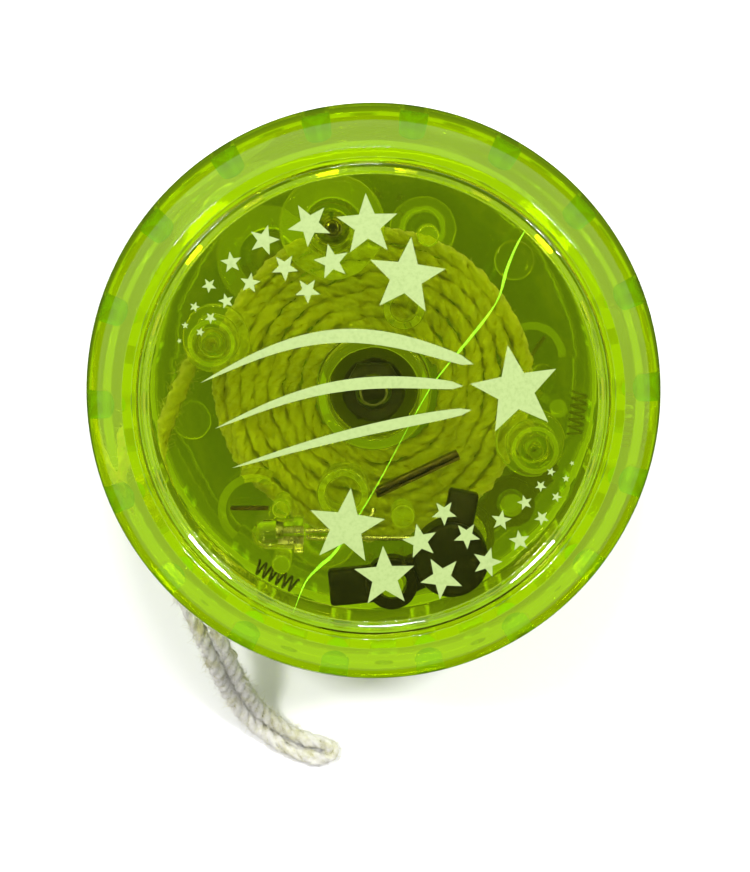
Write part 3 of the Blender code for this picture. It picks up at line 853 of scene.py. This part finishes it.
def ball_mesh():
    bm = bmesh.new()
    bmesh.ops.create_icosphere(bm, subdivisions=5, radius=BALL_RADIUS * MM)
    return finished(at(bm, *polar(BALL_CIRCLE, BALL_ANGLE), FLOOR + FIT_GAP + BALL_RADIUS), "ball")


place_pair("ball", ball_mesh(), chrome, "steel_ball", body="ball")


# ---------------------------------------------------------------- the axle

NUT_ACROSS_FLATS = 5.5
NUT_THICKNESS = 2.4
WASHER_RADIUS = 3.2
WASHER_THICKNESS = 0.5


def nut_mesh():
    bottom, thickness, corner = FLOOR + 1.1, NUT_THICKNESS, NUT_ACROSS_FLATS / math.sqrt(3)
    hexagon = finished(prism([polar(corner, 60 * i) for i in range(6)], bottom, bottom + thickness),
                       "hexagon")
    chamfer = finished(turned([(0, bottom, 0), (2.8, bottom, 0), (3.25, bottom + 0.35, 0),
                               (3.25, bottom + thickness - 0.35, 0), (2.8, bottom + thickness, 0),
                               (0, bottom + thickness, 0)], 64), "chamfer")
    bore = finished(turned([(0, 0, 0), (BORE_RADIUS, 0, 0), (BORE_RADIUS, 20, 0), (0, 20, 0)], 48),
                    "bore")
    return combined(hexagon, [("INTERSECT", chamfer), ("DIFFERENCE", bore)], "nut")


def axle_mesh():
    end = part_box("axle")[1].z / MM - HALF_WIDTH
    return finished(turned([(0, -end, 0), (AXLE_RADIUS, -end, 0.35), (AXLE_RADIUS, end, 0.35),
                            (0, end, 0)], 64), "axle")


def washer_mesh():
    bottom = FLOOR + FIT_GAP
    top = bottom + WASHER_THICKNESS
    return finished(turned([(BORE_RADIUS, bottom, 0.05), (WASHER_RADIUS, bottom, 0.12),
                            (WASHER_RADIUS, top, 0.12), (BORE_RADIUS, top, 0.05)], 64, True),
                    "washer")


def spool_mesh():
    half = GAP_FACE - FIT_GAP
    return finished(turned([(BORE_RADIUS, -half, 0.1), (SPOOL_RADIUS, -half, 0.3),
                            (SPOOL_RADIUS, half, 0.3), (BORE_RADIUS, half, 0.1)], 96, True),
                    "spool")


place_pair("thin_washer", washer_mesh(), washer_steel, "washer")
place_pair("hex_nut", nut_mesh(), washer_steel, "axle_nut")
place_piece("axle_pin", axle_mesh(), chrome, "halves", ("axle",), MIDDLE)
place_piece("spool", spool_mesh(), black, "string", ("axle_spool",), MIDDLE)


# ---------------------------------------------------------------- the string

LAYER = 0.80
TURN_PITCH = 1.56
LEAVING_ANGLE = 158.0
CROSSING_TURNS = 0.75
POINTS_PER_TURN = 100


def winding_points():
    """Two layers of turns side by side in the gap, each wound outwards, in mm."""
    inner = SPOOL_RADIUS + FIT_GAP + STRING_DIAMETER / 2
    outer = WINDING_OUTER - STRING_DIAMETER / 2 - 0.1
    turns = (outer - inner) / TURN_PITCH
    cross = CROSSING_TURNS
    total = 2 * turns + cross
    start = math.radians(LEAVING_ANGLE) + math.tau * (13 - total)
    points = []
    for i in range(int(total * POINTS_PER_TURN) + 1):
        t = i / POINTS_PER_TURN
        angle = start + math.tau * t
        if t < turns:
            radius, height = inner + TURN_PITCH * t, -LAYER
        elif t < turns + cross:
            share = (t - turns) / cross
            ease = share * share * (3 - 2 * share)
            radius = outer + (inner - outer) * ease
            height = -LAYER + 2 * LAYER * ease
        else:
            radius, height = inner + TURN_PITCH * (t - turns - cross), LAYER
        wander = (0.16 * math.sin(3 * angle + 0.5 * radius)
                  + 0.10 * math.sin(7 * angle - 0.8 * radius))
        lift = 0.10 * math.sin(5 * angle + 1.3 * radius)
        radius = min(max(radius + wander, inner), outer + 0.1)
        points.append(Vector((radius * math.cos(angle), radius * math.sin(angle),
                              HALF_WIDTH + height + lift)))
    return points


def string_route():
    """The whole string's centreline, in mm, with a point every few tenths."""
    tail = smooth_route(TAIL_ROUTE, 12)
    for point in tail:
        point.z = max(point.z, STRING_REST_Z)
    winding = winding_points()
    last, first = winding[-1], tail[0]
    before, after = winding[-4], tail[3]
    leave = smooth_route([before, last, last.lerp(first, 0.5) + (last - before).normalized() * 0.15,
                          first, after], 10)[10:-10]
    rough = winding[:-1] + leave + tail[1:]
    lengths = np.cumsum([0.0] + [(b - a).length for a, b in zip(rough, rough[1:])])
    wanted = np.linspace(0, lengths[-1], int(lengths[-1] / STRING_STEP))
    table = np.array(rough)
    return np.stack([np.interp(wanted, lengths, table[:, k]) for k in range(3)], axis=1)


def carried_frames(route):
    """Two directions across the string at every point, carried along it without twisting."""
    ahead = np.gradient(route, axis=0)
    ahead /= np.linalg.norm(ahead, axis=1)[:, None]
    across = np.zeros_like(route)
    first = np.cross(ahead[0], (0, 0, 1.0))
    across[0] = first / np.linalg.norm(first)
    for i in range(1, len(route)):
        side = across[i - 1] - ahead[i] * np.dot(across[i - 1], ahead[i])
        across[i] = side / np.linalg.norm(side)
    return ahead, across, np.cross(ahead, across)


PLIES = 3
PLY_RADIUS = 0.305
PLY_OFFSET = 0.195
TWIST_PITCH = 5.4
AROUND = 20


def ply_reach(angle):
    """How far the bundle of plies reaches at an angle, in string diameters."""
    nearest = (angle + math.pi / PLIES) % (math.tau / PLIES) - math.pi / PLIES
    inside = PLY_RADIUS ** 2 - (PLY_OFFSET * math.sin(nearest)) ** 2
    return PLY_OFFSET * math.cos(nearest) + math.sqrt(inside)


def string_mesh(route):
    """A rope of twisted plies along the route, closed at both ends."""
    ahead, across, up = carried_frames(route)
    step = np.linalg.norm(np.diff(route, axis=0), axis=1)
    along = np.concatenate([[0.0], np.cumsum(step)])
    twist = math.tau * along / TWIST_PITCH + 0.5 * np.sin(along * 0.21) + 0.3 * np.sin(along * 0.57)
    reach = np.array([ply_reach(math.tau * k / AROUND) for k in range(AROUND)])
    top = reach.max()
    verts, crease_shade = [], []
    for i, centre in enumerate(route):
        swell = 1.0 + 0.05 * math.sin(along[i] * 1.9) + 0.04 * math.sin(along[i] * 4.7 + 1)
        for k in range(AROUND):
            angle = math.tau * k / AROUND + twist[i]
            out = math.cos(angle) * across[i] + math.sin(angle) * up[i]
            far = reach[k] * STRING_DIAMETER * 0.96 * swell
            spot = Vector(centre + far * out)
            lump = noise.noise(spot * 1.3) + 0.7 * noise.noise(spot * 2.9)
            far *= 1.0 + 0.20 * lump
            verts.append(centre + far * out)
            # Painted shade amount: largest in the grooves between plies and in the dents between
            # lumps.
            crease_shade.append((1.0 - reach[k] / top) * 1.5 - 0.45 * lump)
    rings = len(route)
    faces = []
    for i in range(rings - 1):
        for k in range(AROUND):
            n = (k + 1) % AROUND
            faces.append((i * AROUND + k, i * AROUND + n,
                          (i + 1) * AROUND + n, (i + 1) * AROUND + k))
    faces.append(tuple(range(AROUND))[::-1])
    faces.append(tuple((rings - 1) * AROUND + k for k in range(AROUND)))
    mesh = bpy.data.meshes.new("string")
    mesh.from_pydata([(x * MM, y * MM, max(z, 0.02) * MM) for x, y, z in verts], [], faces)
    attribute = mesh.attributes.new("crease_shade", "FLOAT", "POINT")
    attribute.data.foreach_set("value", crease_shade)
    bm = bmesh.new()
    bm.from_mesh(mesh)
    bmesh.ops.recalc_face_normals(bm, faces=bm.faces)
    bm.to_mesh(mesh)
    bm.free()
    return smoothed(mesh, 70)


FIBRES = 7000
FIBRE_SEED = 7
FREE_LENGTH = 95


def fuzz_mesh(route):
    """Loose fibres that stand off the string, most of them on the free end."""
    chance = random.Random(FIBRE_SEED)
    ahead, across, up = carried_frames(route)
    free = len(route) - int(FREE_LENGTH / STRING_STEP)
    bm = bmesh.new()
    for number in range(FIBRES):
        inside = number % 3 == 0
        i = chance.randrange(4, free) if inside else chance.randrange(free, len(route) - 4)
        angle = chance.uniform(0, math.tau)
        out = Vector(math.cos(angle) * across[i] + math.sin(angle) * up[i])
        forward = Vector(ahead[i]) * chance.choice((-1, 1))
        point = Vector(route[i]) + out * STRING_DIAMETER * 0.36
        heading = (forward * chance.uniform(0.4, 1.2) + out * chance.uniform(0.2, 0.8)).normalized()
        length = chance.uniform(0.5, 0.9 if inside else 1.6)
        curl = Vector([chance.uniform(-1, 1) for _ in range(3)]) * 0.5
        thick = chance.uniform(0.014, 0.03)
        previous = None
        for step in range(5):
            side = heading.orthogonal().normalized()
            other = heading.cross(side)
            spread = thick * (1 - 0.18 * step)
            point.z = max(point.z, spread + 0.05)
            ring = [bm.verts.new((point + (side * math.cos(a) + other * math.sin(a)) * spread) * MM)
                    for a in (0, 2.094, 4.189)]
            if previous:
                for k in range(3):
                    bm.faces.new((previous[k], previous[(k + 1) % 3], ring[(k + 1) % 3], ring[k]))
            else:
                bm.faces.new(ring[::-1])
            previous = ring
            point = point + heading * length / 4
            heading = (heading + curl * 0.5).normalized()
        bm.faces.new(previous)
    bmesh.ops.recalc_face_normals(bm, faces=bm.faces)
    return finished(bm, "fuzz")


def knot_mesh():
    """The slip knot: the loop's end wrapped twice round itself."""
    turns, radius, height = 2.0, 0.78, 0.8
    centre = Vector(KNOT_CENTRE)
    points = []
    for i in range(49):
        t = i / 48
        angle = math.tau * turns * t
        points.append(tuple(centre + Vector((height * (2 * t - 1) * 0.55 + 0.1 * math.sin(angle),
                                             radius * math.cos(angle),
                                             radius * math.sin(angle)))))
    return swept(points, 0.5, "knot", 5)


route = string_route()
string = place_piece("cotton_string", string_mesh(route), cotton, "string",
                     ("string_winding", "string_tail"))
fuzz = place_piece("cotton_fuzz", fuzz_mesh(route), cotton, "string")
knot = place_piece("loop_knot", knot_mesh(), cotton, "string", ("string_knot",))


# ---------------------------------------------------------------- floor, light

def make_stage():
    bpy.ops.mesh.primitive_plane_add(size=3, location=(0, 0, 0))
    floor = bpy.context.object
    floor.name = "floor"
    made, tree, shader = new_material("pale_floor")
    place = coordinates(tree)
    tone = noise_node(tree, 6.0, 3.0, 0.5, place)
    tree.links.new(ramp(tree, tone, [(0.3, grey(0.86)), (0.7, grey(0.9))]),
                   shader.inputs["Base Color"])
    shader.inputs["Roughness"].default_value = 0.7
    floor.data.materials.append(made)
    # Painted shade: rays passing through or reflected by surfaces skip the floor and meet the
    # world's dark green below the horizon instead.
    floor.visible_transmission = False
    floor.visible_glossy = False


def soft_box(name, place, size, power):
    """A small rectangular studio light that points at the middle of the toy."""
    light = bpy.data.lights.new(name, "AREA")
    light.shape = "RECTANGLE"
    light.size, light.size_y = size
    light.energy = power
    obj = linked(name, light)
    eye = Vector(place)
    target = Vector((0, 0, HALF_WIDTH * MM))
    obj.matrix_world = (Matrix.Translation(eye)
                        @ (target - eye).to_track_quat("-Z", "Y").to_matrix().to_4x4())


def make_world():
    """A white sky, dark straight above and brighter towards +Y, with dark green below the horizon:
    painted shade that rays through and off the plastic meet in place of the shadowed floor under
    the toy.
    """
    world = bpy.data.worlds.new("studio")
    world.use_nodes = True
    scene.world = world
    tree = world.node_tree
    split = tree.nodes.new("ShaderNodeSeparateXYZ")
    direction = tree.nodes.new("ShaderNodeTexCoord").outputs["Generated"]
    tree.links.new(direction, split.inputs["Vector"])
    rise = tree.nodes.new("ShaderNodeMapRange")
    rise.inputs["From Min"].default_value = -1.0
    tree.links.new(split.outputs["Z"], rise.inputs["Value"])
    sky = ramp(tree, rise.outputs["Result"],
               [(0.40, (0.05, 0.11, 0.01)), (0.47, (1.0, 1.0, 1.0)), (0.955, (1.0, 1.0, 1.0)),
                (0.985, (0.06, 0.06, 0.06))])
    lean = tree.nodes.new("ShaderNodeMapRange")
    lean.inputs["From Min"].default_value = -1.0
    lean.inputs["To Min"].default_value = 0.34
    lean.inputs["To Max"].default_value = 1.12
    tree.links.new(split.outputs["Y"], lean.inputs["Value"])
    back = tree.nodes["Background"]
    tree.links.new(sky, back.inputs["Color"])
    tree.links.new(lean.outputs["Result"], back.inputs["Strength"])


make_stage()
make_world()
soft_box("right_light", (0.185, 0.130, 0.50), (0.06, 0.06), 2.1)
soft_box("left_light", (-0.180, 0.135, 0.50), (0.06, 0.06), 1.6)
soft_box("back_light", (-0.02, 0.240, 0.50), (0.08, 0.04), 1.1)
scene.view_settings.view_transform = "Standard"
